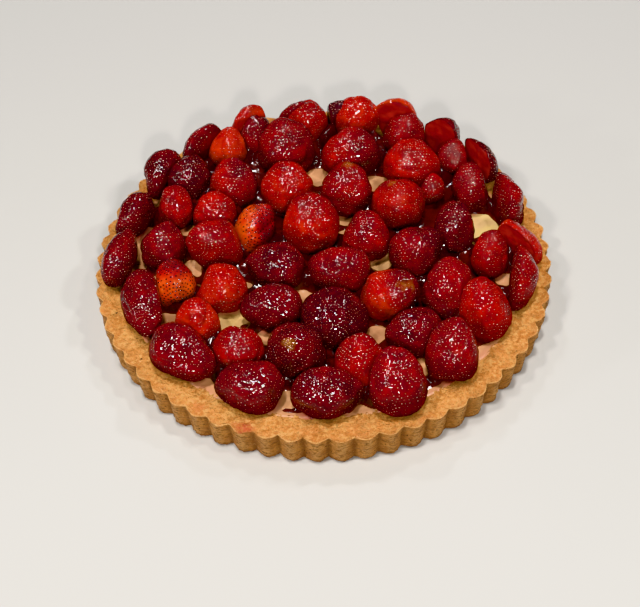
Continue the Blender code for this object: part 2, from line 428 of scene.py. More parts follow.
def case_profile():
    """(radius, height, share of fluting, share of crumb) from under the middle, out, up and in."""
    rim = CASE_HEIGHT - 0.8 * MM
    base = CASE_RADIUS - 2.5 * MM
    rows = [(r * MM, 0.0, 0.0, 0.0) for r in (20, 60, 95, 106)]
    rows += [(base - 5 * MM, 0, 0.4, 0), (base - 2.2 * MM, 0, 0.9, 0), (base - 1.0 * MM, 0.2 * MM, 1, 0.3)]
    wall = 22
    for k in range(wall + 1):
        t = k / wall
        rows.append((base + (CASE_RADIUS - 0.2 * MM - base) * t ** 0.9, 0.7 * MM + (rim - 1.3 * MM) * t, 1, 0.7))
    # Over the top edge and across the rim, sinking gently inwards.
    rows += [
        (CASE_RADIUS - 0.3 * MM, rim - 0.05 * MM, 1.0, 0.6),
        (CASE_RADIUS - 0.8 * MM, rim + 0.25 * MM, 0.95, 0.6),
        (CASE_RADIUS - 1.5 * MM, rim + 0.35 * MM, 0.85, 0.8),
    ]
    across = 22
    start = CASE_RADIUS - 2.3 * MM
    for k in range(across + 1):
        t = k / across
        radius = start + (RIM_INNER - start) * t
        height = rim + 0.4 * MM + 0.05 * MM * math.sin(math.pi * t) - 0.75 * MM * t ** 2
        rows.append((radius, height, 0.7 * (1 - t) ** 2.5, 1.0))
    rows += [
        (RIM_INNER - 0.5 * MM, CUSTARD_TOP - 0.1 * MM, 0, 0.4),
        (RIM_INNER - 0.8 * MM, CUSTARD_TOP - 1.5 * MM, 0, 0),
        (RIM_INNER - 20 * MM, CUSTARD_TOP - 4 * MM, 0, 0),
        (RIM_INNER - 70 * MM, CUSTARD_TOP - 4 * MM, 0, 0),
    ]
    return rows


def turned_case():
    rows = case_profile()
    angle = np.linspace(0, math.tau, CASE_COLUMNS, endpoint=False) - math.pi / 2
    radius = np.array([row[0] for row in rows])[:, None]
    height = np.array([row[1] for row in rows])[:, None]
    # The rim's inner edge laps unevenly over the custard.
    ring = RIM_INNER * np.stack([np.cos(angle), np.sin(angle), 0 * angle], axis=-1)
    lap = 2.0 * MM + 1.2 * MM * lattice_noise(ring, 15 * MM) + 0.7 * MM * lattice_noise(ring, 5 * MM)
    share = np.clip((CASE_RADIUS - 5 * MM - radius) / (CASE_RADIUS - 5 * MM - RIM_INNER), 0, 1) ** 2
    on_rim = (height > CUSTARD_TOP - 2 * MM) & (radius > RIM_INNER - 1 * MM)
    radius = radius - share * on_rim * lap
    points = np.stack([radius * np.cos(angle), radius * np.sin(angle), height + 0 * angle], axis=-1)
    points = points.reshape(-1, 3)
    faces = ring_faces(len(rows), CASE_COLUMNS).tolist()
    faces.append(list(range(CASE_COLUMNS))[::-1])
    faces.append([(len(rows) - 1) * CASE_COLUMNS + i for i in range(CASE_COLUMNS)])
    shares = {
        "fluting": np.repeat([row[2] for row in rows], CASE_COLUMNS),
        "crumb": np.repeat([row[3] for row in rows], CASE_COLUMNS),
        # crest: the sharp top edge, which the material paints pale, partly as a highlight.
        "crest": np.repeat([1.0 if row[2] in (0.95, 1.0) and row[3] == 0.6 else 0.0 for row in rows], CASE_COLUMNS),
    }
    return object_from("crust_case", points, faces, shares)


# %% [markdown]
# The geometry tree reads each point's angle and height. The flutes push it inwards by a
# rounded wave with narrow valleys. Two noises then roughen it: a coarse one for the hand of
# the baker and a fine one for the crumb. Named inputs on the tree hold the sizes.

# %% A geometry tree that flutes and roughens the case


def geometry_tree(name, numbers):
    """An empty geometry tree with one geometry socket each way and a named number for each size."""
    tree = bpy.data.node_groups.new(name, "GeometryNodeTree")
    tree.interface.new_socket("Geometry", in_out="INPUT", socket_type="NodeSocketGeometry")
    for label in numbers:
        tree.interface.new_socket(label, in_out="INPUT", socket_type="NodeSocketFloat")
    tree.interface.new_socket("Geometry", in_out="OUTPUT", socket_type="NodeSocketGeometry")
    net = Net(tree)
    start = tree.nodes.new("NodeGroupInput")
    inputs = {out.name: Flow(net, out) for out in start.outputs if out.name}
    return tree, net, inputs


def finish_tree(net, geometry, material):
    whole = net.make("GeometryNodeRealizeInstances", {}, {"Geometry": geometry})
    dressed = net.make("GeometryNodeSetMaterial", {}, {"Geometry": whole, "Material": material})
    end = net.tree.nodes.new("NodeGroupOutput")
    net.tree.links.new(dressed.socket, end.inputs[0])


def apply_tree(thing, tree, numbers):
    """Runs the tree on the object with these sizes and keeps the result as a plain mesh."""
    modifier = thing.modifiers.new(tree.name, "NODES")
    for item in tree.interface.items_tree:
        if item.item_type == "SOCKET" and item.in_out == "INPUT" and item.name in numbers:
            # The sizes are set by identifier before the tree is attached.
            item.default_value = numbers[item.name]
    modifier.node_group = tree
    for item in tree.interface.items_tree:
        if item.item_type == "SOCKET" and item.in_out == "INPUT" and item.name in numbers:
            modifier[item.identifier] = float(numbers[item.name])
    bpy.context.view_layer.update()
    evaluated = thing.evaluated_get(bpy.context.evaluated_depsgraph_get())
    mesh = bpy.data.meshes.new_from_object(evaluated)
    thing.modifiers.clear()
    old = thing.data
    thing.data = mesh
    bpy.data.meshes.remove(old)
    mesh.name = thing.name
    return thing


def flute_tree(material, numbers):
    tree, net, sizes = geometry_tree("flutes_and_crumb", numbers)
    place = net.make("GeometryNodeInputPosition")
    x, y, z = net.split(place)
    angle = y.math("ARCTAN2", x)
    half_turn = (angle + math.pi / 2) * sizes["Flutes"] / 2.0
    wave = half_turn.math("SINE").math("ABSOLUTE") ** 1.20
    fluting = net.make("GeometryNodeInputNamedAttribute", {"data_type": "FLOAT"}, {"Name": "fluting"})
    crumb = net.make("GeometryNodeInputNamedAttribute", {"data_type": "FLOAT"}, {"Name": "crumb"})
    # No two ribs came out of the tin quite alike.
    around = net.stretch(place, (1.0, 1.0, 0.15))
    uneven = net.noise(around, 45.0, 1.0) - 0.5
    inward = (1.0 - wave) * fluting * sizes["Flute depth"] * (1.0 + uneven * 0.9)
    inward = inward + fluting * (net.noise(around, 14.0, 1.0) - 0.5).math("ABSOLUTE") * sizes["Wander"]
    radius = (x * x + y * y).math("SQRT").over(0.001)
    # Crumb: coarse lumps and fine grains, pressed in rather than standing out.
    lumps = net.noise(place, 170.0, 3.0, 0.65) * -1.0 + 0.30
    grains = net.noise(place, 620.0, 2.0, 0.6) * -1.0 + 0.35
    rough = (lumps * sizes["Lump height"] + grains * sizes["Grain height"]).under(0.0) * crumb
    normal = net.make("GeometryNodeInputNormal")
    shift = net.make("ShaderNodeVectorMath", {"operation": "SCALE"}, {0: normal, "Scale": rough})
    factor = inward / radius * -1.0
    outward = net.make("ShaderNodeCombineXYZ", {}, {0: x * factor, 1: y * factor, 2: 0.0})
    offset = net.make("ShaderNodeVectorMath", {"operation": "ADD"}, {0: shift, 1: outward})
    moved = net.make("GeometryNodeSetPosition", {}, {"Geometry": sizes["Geometry"], "Offset": offset})
    # The valley share goes to the material, which paints shade in the valleys and light on the ribs.
    values = {"Geometry": moved, "Name": "valley", "Value": (1.0 - wave) * fluting}
    marked = net.make("GeometryNodeStoreNamedAttribute", {"data_type": "FLOAT", "domain": "POINT"}, values)
    finish_tree(net, marked, material)
    return tree


# %% [markdown]
# The crust's colour is built from broad to fine: pale biscuit on the wall, golden brown on
# the rim, browner where the edge caught the heat, then speckles of darker and lighter crumb.
# Strawberry juice has run on to the rim in a few places and dried there as pink stains.

# %% Baked shortcrust
STAINS = [
    ((-40, -109), 7.0, 1.0),
    ((46, -104), 5.5, 0.18),
    ((86, -62), 6.0, 0.12),
    ((-8, -110), 9.0, 0.15),
    ((16, -110), 8.0, 0.22),
    ((-62, -96), 5.0, 0.35),
]
PRICKS = [((-106, -32), 0.9), ((-91.5, -63.5), 0.8)]


def spot_mask(net, x, y, centre, radius, ragged):
    """1 in the middle of a round spot on the top, fading to 0 past its radius (mm)."""
    dx = x - centre[0] * MM
    dy = y - centre[1] * MM
    away = (dx * dx + dy * dy).math("SQRT") + ragged
    return away.step(radius * MM, radius * 0.35 * MM)


def make_crust_material():
    material, net, surface, where = new_material("baked_shortcrust")
    x, y, z = net.split(where)
    radius = (x * x + y * y).math("SQRT")
    broad = net.noise(where, 28.0, 3.0)
    middle = net.noise(where, 140.0, 3.0, 0.6)
    fine = net.noise(where, 900.0, 3.0, 0.65)
    wrinkle_at = net.stretch(where, (1.0, 1.0, 3.2))
    wrinkle = net.noise(wrinkle_at, 420.0, 3.0, 0.6)

    sandy = net.noise(where, 520.0, 3.0, 0.6)
    rim = net.mix(middle.step(0.35, 0.65), (0.73, 0.295, 0.086), (0.90, 0.415, 0.132))
    rim = net.mix(broad.step(0.42, 0.66) * 0.5, rim, (0.70, 0.270, 0.076))
    rim = net.mix(sandy.step(0.48, 0.64) * 0.68, rim, (0.98, 0.575, 0.21))
    rim = net.mix(sandy.step(0.46, 0.34) * 0.55, rim, (0.50, 0.175, 0.044))
    edge = radius.step(CASE_RADIUS - 8 * MM, CASE_RADIUS - 2.2 * MM)
    rim = net.mix(edge * middle.step(0.3, 0.6) * 0.45, rim, (0.50, 0.180, 0.056))
    wall = net.mix(middle.step(0.35, 0.65), (0.54, 0.235, 0.070), (0.72, 0.345, 0.105))
    # Painted shade: the wall is darkened in the creases of its wrinkles.
    wall = net.mix(wrinkle.step(0.50, 0.38) * 0.6, wall, (0.20, 0.075, 0.020))
    valley = net.attribute("valley")
    # Painted light and shade on the flutes: rib tops and wrinkle ridges are painted lighter, the valleys darker.
    wall = net.mix(valley.step(0.35, 0.0) * wrinkle.step(0.40, 0.60) * 0.6, wall, (0.80, 0.46, 0.18))
    wall = net.mix(valley.step(0.55, 1.0) * 0.60, wall, (0.24, 0.085, 0.022))
    foot = z.step(3.4 * MM, 0.8 * MM)
    wall = net.mix(foot * broad.step(0.3, 0.55) * 0.8, wall, (0.27, 0.085, 0.018))
    top = z.step(CASE_HEIGHT - 2.6 * MM, CASE_HEIGHT - 1.3 * MM)
    colour = net.mix(top, wall, rim)
    # The sharp upper edge is painted pale: partly dry, pale crumb, partly a painted highlight where light catches it.
    crest = net.attribute("crest")
    colour = net.mix(crest * fine.step(0.35, 0.55) * 0.8, colour, (0.90, 0.55, 0.22))
    colour = net.mix(fine.step(0.58, 0.70) * 0.55, colour, (0.84, 0.50, 0.19))
    colour = net.mix(fine.step(0.42, 0.32) * 0.55, colour, (0.30, 0.100, 0.024))
    pore = net.make("ShaderNodeTexVoronoi", {}, {"Vector": where, "Scale": 330.0})
    colour = net.mix(pore.step(0.16, 0.08) * (1.0 - top * 0.7), colour, (0.085, 0.028, 0.010))

    ragged = (net.noise(where, 260.0, 2.0) - 0.5) * (9.0 * MM)
    for centre, size, strength in STAINS:
        mask = spot_mask(net, x, y, centre, size, ragged) * strength * top
        colour = net.mix(mask * sandy.step(0.30, 0.55) * 0.8, colour, (0.58, 0.095, 0.050))
    for centre, size in PRICKS:
        colour = net.mix(spot_mask(net, x, y, centre, size, 0.0), colour, (0.05, 0.018, 0.008))

    grain = net.noise(where, 1500.0, 2.0, 0.7)
    bump_height = fine * 0.8 + grain * 0.5 + wrinkle * (1.0 - top) * 1.0
    bump = net.make("ShaderNodeBump", {}, {"Strength": 1.0, "Distance": 0.0016, "Height": bump_height})
    # Butter leaves the top slightly shiny in freckles.
    roughness = 0.64 - fine.step(0.48, 0.62) * top * 0.50
    connect(net, surface, Base_Color=colour, Roughness=roughness, Normal=bump)
    fix(surface, IOR=1.45)
    return material


crust_material = make_crust_material()
case_sizes = {
    "Flutes": FLUTES,
    "Flute depth": FLUTE_DEPTH,
    "Wander": 1.2 * MM,
    "Lump height": 3.4 * MM,
    "Grain height": 1.8 * MM,
}
crust = apply_tree(turned_case(), flute_tree(crust_material, case_sizes), case_sizes)
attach(crust, "root")
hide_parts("crust")
print("case:", triangle_count(crust), "triangles")

# %% [markdown]
# ## What shape is each berry?
# The solids for the berries are coarse and flat-sided, and were trimmed by planes where
# they touch. To dress one, its planes are read back. A face made of several triangles in
# one plane is a trimmed side, or the cut side of a halved berry. The rest belong to the
# skin, and are blurred into one smooth surface seen from the middle of the berry. The
# trimmed sides are then pressed in again with a soft edge.

# %% Reading a solid's planes
# Where each berry's tip points: its turn from +X and its rise above level, in degrees.
TIPS = {
    "berry_01": (-40, 0), "berry_02": (170, 0), "berry_03": (0, 0), "berry_04": (95, 50),
    "berry_05": (88, 50), "berry_06": (100, 35), "berry_07": (82, 5), "berry_08": (-45, 0),
    "berry_09": (98, 5), "berry_10": (115, 5), "berry_11": (140, 0), "berry_12": (165, 0),
    "berry_13": (25, 0), "berry_14": (190, 0), "berry_15": (195, 20), "berry_16": (218, 0),
    "berry_17": (245, 0), "berry_18": (243, 0), "berry_19": (258, 0), "berry_20": (280, 0),
    "berry_21": (90, 70), "berry_22": (195, 5), "berry_23": (75, 30), "berry_24": (90, 60),
    "berry_25": (-34, 36), "berry_26": (30, 10), "berry_27": (180, 0), "berry_28": (258, 0),
    "berry_29": (250, 55), "berry_30": (90, 60), "berry_31": (90, 60), "berry_32": (100, 10),
    "berry_33": (90, 30), "berry_34": (180, 0), "berry_35": (170, 5), "berry_36": (200, 30),
    "berry_37": (90, 50), "berry_38": (60, 30), "berry_39": (90, 60), "berry_40": (95, 50),
    "berry_41": (90, 50), "berry_42": (90, 45), "berry_43": (90, 60), "berry_44": (90, 50),
    "berry_45": (80, 40), "berry_46": (270, 30), "berry_47": (90, 60), "berry_48": (75, 50),
    "berry_49": (90, 50), "berry_50": (90, 45), "berry_51": (90, 50), "berry_52": (85, 60),
    "berry_53": (90, 60), "berry_54": (90, 60), "berry_55": (80, 50), "berry_56": (90, 60),
    "berry_57": (90, 50), "berry_58": (90, 50),
}
# The way the cut side of each halved berry looks (degrees from +X).
CUT_SIDES = {
    "berry_07": 172, "berry_08": 225, "berry_09": 188, "berry_10": 205, "berry_11": 230,
    "berry_12": 255, "berry_13": 295, "berry_14": 280, "berry_15": 285, "berry_16": 308,
}
CUT_LEAN = 0.2


def tip_axes(turn, rise):
    a, b = math.radians(turn), math.radians(rise)
    tip = np.array([math.cos(a) * math.cos(b), math.sin(a) * math.cos(b), math.sin(b)])
    side = np.array([-math.sin(a), math.cos(a), 0.0])
    return np.stack([tip, side, np.cross(tip, side)])


def planes_of(node):
    """(skin planes, trimmed planes, centre) of a convex solid; a plane is its normal and its offset."""
    mesh = frame["nodes"][node].data
    corner = np.array([vertex.co[:] for vertex in mesh.vertices])
    triangles = np.array([face.vertices[:] for face in mesh.polygons if len(face.vertices) == 3])
    a, b, c = (corner[triangles[:, k]] for k in range(3))
    cross = np.cross(b - a, c - a)
    doubled = np.linalg.norm(cross, axis=1)
    keep = doubled > 1e-10
    a, b, c, cross, doubled = a[keep], b[keep], c[keep], cross[keep], doubled[keep]
    normal = cross / doubled[:, None]
    offset = (normal * a).sum(axis=1)
    origin = corner.mean(axis=0)
    volume = ((a - origin) * np.cross(b - origin, c - origin)).sum(axis=1)
    centre = origin + ((a + b + c - 3 * origin) / 4 * volume[:, None]).sum(axis=0) / volume.sum()
    skin, trimmed, used = [], [], np.zeros(len(normal), bool)
    for i in range(len(normal)):
        if used[i]:
            continue
        same = (normal @ normal[i] > 0.9996) & (abs(offset - offset[i]) < 0.05 * MM)
        used |= same
        plane = (normal[same].mean(axis=0), offset[same].mean())
        (trimmed if same.sum() >= 4 else skin).append(plane)
    return skin, trimmed, centre


def reach(planes, centre, ways):
    """How far it is from the centre to the nearest of the planes, along each direction."""
    if not planes:
        return np.full(len(ways), 1.0)
    normal = np.array([plane[0] for plane in planes])
    depth = np.array([plane[1] for plane in planes]) - normal @ centre
    facing = ways @ normal.T
    distance = np.where(facing > 1e-3, depth / np.maximum(facing, 1e-3), 1.0)
    return distance.min(axis=1)


def spread_ways(count):
    """Directions spread evenly over a sphere."""
    k = np.arange(count) + 0.5
    z = 1 - 2 * k / count
    turn = k * math.pi * (1 + math.sqrt(5))
    flat = np.sqrt(1 - z * z)
    return np.stack([flat * np.cos(turn), flat * np.sin(turn), z], axis=1)


SAMPLE_WAYS = spread_ways(700)
BLUR = math.radians(13)


def smooth_reach(skin, centre, half, axes, ways):
    """The reach to the skin, blurred over neighbouring directions, relative to an ellipsoid."""
    def ellipsoid(directions):
        return 1 / np.sqrt((((directions @ axes.T) / half) ** 2).sum(axis=1))

    ratio = reach(skin, centre, SAMPLE_WAYS) / ellipsoid(SAMPLE_WAYS)
    ratio = np.minimum(ratio, np.percentile(ratio, 90) * 1.1)
    weight = np.exp((ways @ SAMPLE_WAYS.T - 1) / BLUR ** 2)
    return weight @ ratio / weight.sum(axis=1) * ellipsoid(ways)


def soft_min(a, b, width):
    """The smaller of two, rounded off over `width`."""
    h = np.clip(0.5 + 0.5 * (b - a) / width, 0, 1)
    return b + (a - b) * h - width * h * (1 - h)


# %% [markdown]
# ## A berry's skin
# A strawberry's seeds sit in pits, in staggered rows round the fruit. So the mesh is laid
# out on that same pattern: every seed gets a small patch of quads with one point exactly at
# the bottom of its pit. The pits are then real dents, and it costs few faces. Near the tip
# and the stalk the rows close in, so there only every second or fourth place has a seed.

# %% Building one berry
SEED_SPACING = 2.20 * MM
# Quads to a seed, across its row and from row to row. The first is even, for staggered rows.
PATCH, PATCH_ROWS = 4, 3
PIT_DEPTH = 0.44 * MM
PIT_RADIUS = 0.97 * MM
GLAZE_RIPPLE = 0.16 * MM
CREASE_DEPTH = 0.65 * MM
CREASE_WIDTH = 0.12


def berry_mesh(planes, turn, rise, cut_side, turned_away, seed):
    """Points, faces and attributes of one berry, then its seeds' places and outward ways."""
    skin, trimmed, centre = planes
    axes = tip_axes(turn, rise)
    chance = np.random.default_rng(seed)
    probe = reach(skin + trimmed, centre, SAMPLE_WAYS)[:, None] * SAMPLE_WAYS @ axes.T
    half = (probe.max(axis=0) - probe.min(axis=0)) / 2

    girth = math.pi * (half[1] + half[2])
    meridian = math.pi * math.sqrt((half[0] ** 2 + ((half[1] + half[2]) / 2) ** 2) / 2)
    around = 2 * round(girth / SEED_SPACING / 2)
    rows = round(meridian / (SEED_SPACING * 0.87))
    columns, rings = around * PATCH, rows * PATCH_ROWS

    # Rows at even distances along the skin, from the tip to the stalk end.
    fine = np.linspace(0, math.pi, 400)
    step = np.hypot(half[0] * np.sin(fine), (half[1] + half[2]) / 2 * np.cos(fine))
    along = np.concatenate([[0], np.cumsum((step[1:] + step[:-1]) / 2)])
    phi = np.interp(np.arange(1, rings) / rings, along / along[-1], fine)
    psi = math.tau * np.arange(columns) / columns

    # The lattice is warped, so that rows wander as they do on the fruit.
    drift = chance.uniform(0, math.tau, 4)
    p, q = np.meshgrid(phi, psi, indexing="ij")
    plain = np.stack([np.cos(p), np.sin(p) * np.cos(q), np.sin(p) * np.sin(q)], axis=-1)
    wander = np.sin(p) ** 2
    p2 = p + wander * (0.06 * np.sin(2 * q + drift[0]) + 0.04 * np.sin(3 * q + drift[1]))
    p2 = p2 + wander * 0.055 * lattice_noise(plain + seed, 0.30)
    p2 = p2 + wander * 0.050 * lattice_noise(plain + seed + 4.0, 0.16)
    q2 = q + 0.12 * np.sin(2 * p + drift[2]) + 0.05 * np.sin(3 * q + drift[3])
    q2 = q2 + 0.075 * np.sin(p) * lattice_noise(plain + seed + 9.0, 0.30)
    q2 = q2 + 0.050 * np.sin(p) * lattice_noise(plain + seed + 6.0, 0.16)
    local = np.stack([np.cos(p2), np.sin(p2) * np.cos(q2), np.sin(p2) * np.sin(q2)], axis=-1).reshape(-1, 3)
    local = local * half
    local /= np.linalg.norm(local, axis=1)[:, None]
    poles = np.array([[1.0, 0, 0], [-1.0, 0, 0]])
    ways = np.concatenate([local, poles]) @ axes

    distance = smooth_reach(skin, centre, half, axes, ways) * 1.035
    # Flat and dented sides, where it grew or lay against something.
    for way in chance.normal(size=(7, 3)):
        way /= np.linalg.norm(way)
        widest = (distance * (ways @ way)).max() * chance.uniform(0.86, 0.97)
        distance = soft_min(distance, reach([(way, way @ centre + widest)], centre, ways), 2.4 * MM)
    # The side it lies on is fuller, because soft fruit settles.
    below = np.clip((0.05 - ways[:, 2]) / 0.55, 0, 1)
    distance = distance * (1 + 0.09 * below * below * (3 - 2 * below))
    # Slow swellings and dips, then the uneven coat of glaze over seeds and skin.
    distance = distance * (
        1 + 0.050 * lattice_noise(ways + seed * 3.7, 0.60) + 0.024 * lattice_noise(ways + seed, 0.30)
    )
    # A shallow crease or two where the fruit grew in lobes.
    lobes = lattice_noise(ways + seed * 1.9, 1.1)
    distance = distance - CREASE_DEPTH * np.exp(-((lobes / CREASE_WIDTH) ** 2))
    placed = centre + ways * distance[:, None]
    distance = distance + GLAZE_RIPPLE * lattice_noise(placed, 1.9 * MM)
    skin_distance = distance.copy()
    flesh = np.zeros(len(ways))
    for normal, offset in trimmed:
        is_cut = False
        if cut_side is not None:
            look = math.radians(cut_side)
            cut = np.array([math.cos(look), math.sin(look), CUT_LEAN])
            is_cut = float(normal @ cut) / np.linalg.norm(cut) > 0.995
        flat = reach([(normal, offset)], centre, ways)
        if is_cut and turned_away:
            distance = soft_min(distance, flat + 1.5 * MM, 6.0 * MM)
            skin_distance = distance.copy()
        elif is_cut:
            flat = flat + 0.45 * MM * lattice_noise(ways + seed, 0.45)
            flesh = np.clip((skin_distance - flat) / (0.6 * MM), 0, 1)
            distance = soft_min(distance, flat, 0.7 * MM)
        else:
            distance = soft_min(distance, flat + 0.12 * MM, 1.3 * MM)
    points = centre + ways * distance[:, None]

    # How far every point is from its own pit.
    row = np.arange(1, rings)[:, None] / PATCH_ROWS
    column = np.arange(columns)[None, :] / PATCH
    nearest_row = np.round(row)
    shift = (nearest_row % 2) * 0.5
    across = (points[:-2] - centre) @ axes.T
    girth_here = np.hypot(across[:, 1], across[:, 2]).reshape(rings - 1, columns).mean(axis=1)
    room = math.tau * girth_here / around
    level = np.where(room > 1.35 * MM, 1, np.where(room > 0.7 * MM, 2, 4))[:, None]
    spread = column - shift
    nearest_column = np.round(spread / level) * level
    from_row = (row - nearest_row) * meridian / rows + 0 * spread
    from_column = (spread - nearest_column) * room[:, None]
    pit = np.clip(1 - np.hypot(from_row, from_column) / PIT_RADIUS, 0, 1)
    pit = pit * pit * (3 - 2 * pit)
    # A few places never set a seed.
    place = (nearest_row * around + nearest_column % around).astype(int) + 0 * pit.astype(int)
    empty = np.random.default_rng(seed + 500).random(int(place.max()) + 1) < 0.12
    present = (nearest_row >= 1) & (nearest_row <= rows - 1) & ~empty[place]
    pit = np.concatenate([(pit * present).ravel(), [0, 0]])
    pressed = np.clip((skin_distance - distance) / (0.7 * MM), 0, 1)
    pit = pit * (1 - np.maximum(flesh, pressed * 0.6))
    points = points - ways * (pit * PIT_DEPTH)[:, None]
    # The tallest berry stays under the top of the solids.
    points[:, 2] = soft_min(points[:, 2], CAD_HIGH.z - 0.3 * MM, 1.0 * MM)

    faces = [quad[::-1] for quad in ring_faces(rings - 1, columns).tolist()]
    last = (rings - 1) * columns
    for i in range(columns):
        j = (i + 1) % columns
        faces.append((last, i, j))
        faces.append((last + 1, last - columns + j, last - columns + i))

    # Seeds stand in the pits that face open air.
    index = np.flatnonzero(((np.hypot(from_row, from_column) < 1e-9) & present).ravel())
    index = index[(flesh[index] < 0.1) & (pressed[index] < 0.5)]
    index = index[(points[index, 2] > CUSTARD_TOP + 0.5 * MM) & (ways[index, 2] > -0.45)]
    # under: how much the skin faces down; the material paints shade there and weakens the coat.
    attributes = {"pit": pit, "flesh": flesh, "under": np.clip((0.35 - ways[:, 2]) / 0.45, 0, 1)}
    return points, faces, attributes, ways, points[index], ways[index]


# %% [markdown]
# ## Glazed strawberry
# Ripe fruit is a deep red that looks soft because light enters it a little way. The skin
# varies: darker and more purple where it is very ripe, orange where it isn't, and yellow at
# some tips. A wet clear coat gives the hard, small glints, and the mesh's pits, creases and
# ripple break them up as glaze round seeds does; a fine bump roughens only the skin under
# the coat. One function mixes all four ripenesses.

# %% Strawberry skin in four ripenesses
# Colour from over-ripe purple to half-ripe orange.
RIPENESS_STOPS = [
    (0.00, (0.055, 0.0015, 0.0040)),
    (0.22, (0.150, 0.0025, 0.0050)),
    (0.42, (0.270, 0.0040, 0.0050)),
    (0.62, (0.420, 0.0085, 0.0050)),
    (0.82, (0.540, 0.0340, 0.0080)),
    (1.00, (0.620, 0.0850, 0.0120)),
]
MIDDLES = {"berry_dark": 0.22, "berry_red": 0.42, "berry_bright": 0.60, "berry_orange": 0.84}


def make_berry_material(name, middle):
    material, net, surface, where = new_material(name)
    broad = net.noise(where, 85.0, 2.0)
    fine = net.noise(where, 650.0, 2.0)
    pit, flesh = net.attribute("pit"), net.attribute("flesh")
    unripe, patch = net.attribute("unripe"), net.attribute("patch")
    z = net.split(where)[2]
    blotch = net.noise(where, 230.0, 2.0)
    # In the pits the ripeness is lowered a little, which paints shade there.
    ripeness = middle + unripe + (broad - 0.5) * 0.50 + (blotch - 0.5) * 0.50 + (fine - 0.5) * 0.18 - pit * 0.05
    # Painted shade: each berry is darkened towards its foot, just above the custard.
    painted_foot_shade = (z + (broad - 0.5) * (8 * MM)).step(CUSTARD_TOP + 9 * MM, CUSTARD_TOP + 1 * MM)
    under = net.attribute("under")
    ripeness = ripeness - painted_foot_shade * 0.20
    colour = net.make("ShaderNodeValToRGB", {"stops": RIPENESS_STOPS}, {"Fac": ripeness.clamp()})
    bruised = net.noise(net.stretch(where, (1.0, 1.0, 1.5)), 62.0, 2.0, 0.6)
    colour = net.mix(bruised.step(0.54, 0.70) * 0.45, colour, (0.050, 0.0018, 0.0045))
    colour = net.mix(patch * (0.35 + fine.step(0.35, 0.60) * 0.65), colour, (0.36, 0.170, 0.032))
    vein = net.noise(net.stretch(where, (1.0, 1.0, 1.8)), 130.0, 2.0)
    flesh_colour = net.mix(vein.step(0.35, 0.68), (0.30, 0.010, 0.012), (0.44, 0.036, 0.030))
    flesh_colour = net.mix(flesh.step(0.98, 0.5), flesh_colour, (0.15, 0.004, 0.005))
    colour = net.mix(flesh, colour, flesh_colour)
    # Painted shade: the foot and the skin that faces down are darkened towards black red.
    colour = net.mix(painted_foot_shade.over(under * under * 0.75) * 0.65, colour, (0.030, 0.0012, 0.0025))
    height = (net.noise(where, 1300.0, 2.0) + net.noise(where, 480.0, 1.0) * 1.4) * (1.0 - flesh * 0.6)
    bump = net.make("ShaderNodeBump", {}, {"Strength": 0.60, "Distance": 0.0006, "Height": height})
    # At the foot and on the skin that faces down the coat is weaker, so it doesn't mirror the custard.
    connect(net, surface, Base_Color=colour, Normal=bump, Coat_Weight=1.0 - painted_foot_shade.over(under))
    fix(surface, Roughness=0.45, Specular_IOR_Level=0.0, Coat_Roughness=0.03, Coat_IOR=1.46)
    fix(surface, Subsurface_Weight=0.12)
    fix(surface, Subsurface_Scale=0.003, Subsurface_Radius=(1.0, 0.12, 0.06))
    return material


berry_materials = {name: make_berry_material(name, middle) for name, middle in MIDDLES.items()}

# %% [markdown]
# Each berry differs from its class by a little, and some have a side that ripened less or
# more. A number on every point carries this: a lift for the whole berry, and a lift towards
# one direction. A few tips never coloured at all and get a greenish yellow patch.

# %% How each berry ripened
# Lift of the whole berry above its class, then a turn, a rise and a lift for one side.
LIFTS = {
    "berry_03": -0.30, "berry_04": -0.14, "berry_05": -0.08, "berry_06": -0.16, "berry_09": 0.07,
    "berry_10": -0.10, "berry_11": -0.12, "berry_12": 0.0, "berry_13": -0.42, "berry_15": 0.25, "berry_16": -0.04, "berry_17": -0.07,
    "berry_18": -0.07, "berry_19": -0.05, "berry_20": 0.0, "berry_21": -0.54, "berry_22": -0.08,
    "berry_23": 0.14, "berry_24": 0.03, "berry_25": -0.18, "berry_26": 0.08, "berry_27": 0.02,
    "berry_28": -0.17, "berry_29": -0.32, "berry_30": -0.06, "berry_31": 0.04, "berry_32": 0.06,
    "berry_33": -0.26, "berry_34": -0.07, "berry_35": -0.10, "berry_36": 0.02, "berry_37": 0.03,
    "berry_38": 0.04, "berry_39": -0.10, "berry_40": -0.24, "berry_41": -0.12, "berry_42": -0.18,
    "berry_43": -0.04, "berry_44": -0.08, "berry_45": -0.07, "berry_46": -0.08, "berry_47": -0.05,
    "berry_48": -0.52, "berry_49": -0.08, "berry_50": -0.14, "berry_51": -0.14, "berry_52": -0.04,
    "berry_53": 0.02, "berry_54": 0.07, "berry_55": -0.12, "berry_56": 0.06, "berry_57": -0.09, "berry_58": 0.0,
}
SIDES = {
    "berry_25": (0, 20, -0.45), "berry_38": (-10, 10, -0.55), "berry_42": (180, 10, 0.30),
    "berry_53": (-20, 20, -0.25), "berry_21": (-60, 30, 0.15), "berry_26": (40, 30, -0.18),
    "berry_56": (60, 60, -0.15), "berry_32": (100, 35, -0.50), "berry_43": (40, 50, -0.18), "berry_33": (-90, 10, 0.10),
}
PATCHES = {
    "berry_25": (-40, 52, 0.28), "berry_29": (250, 58, 0.24), "berry_48": (75, 62, 0.34),
    "berry_10": (20, 40, 0.75), "berry_46": (120, 60, 0.22),
}


def direction(turn, rise):
    return tip_axes(turn, rise)[0]


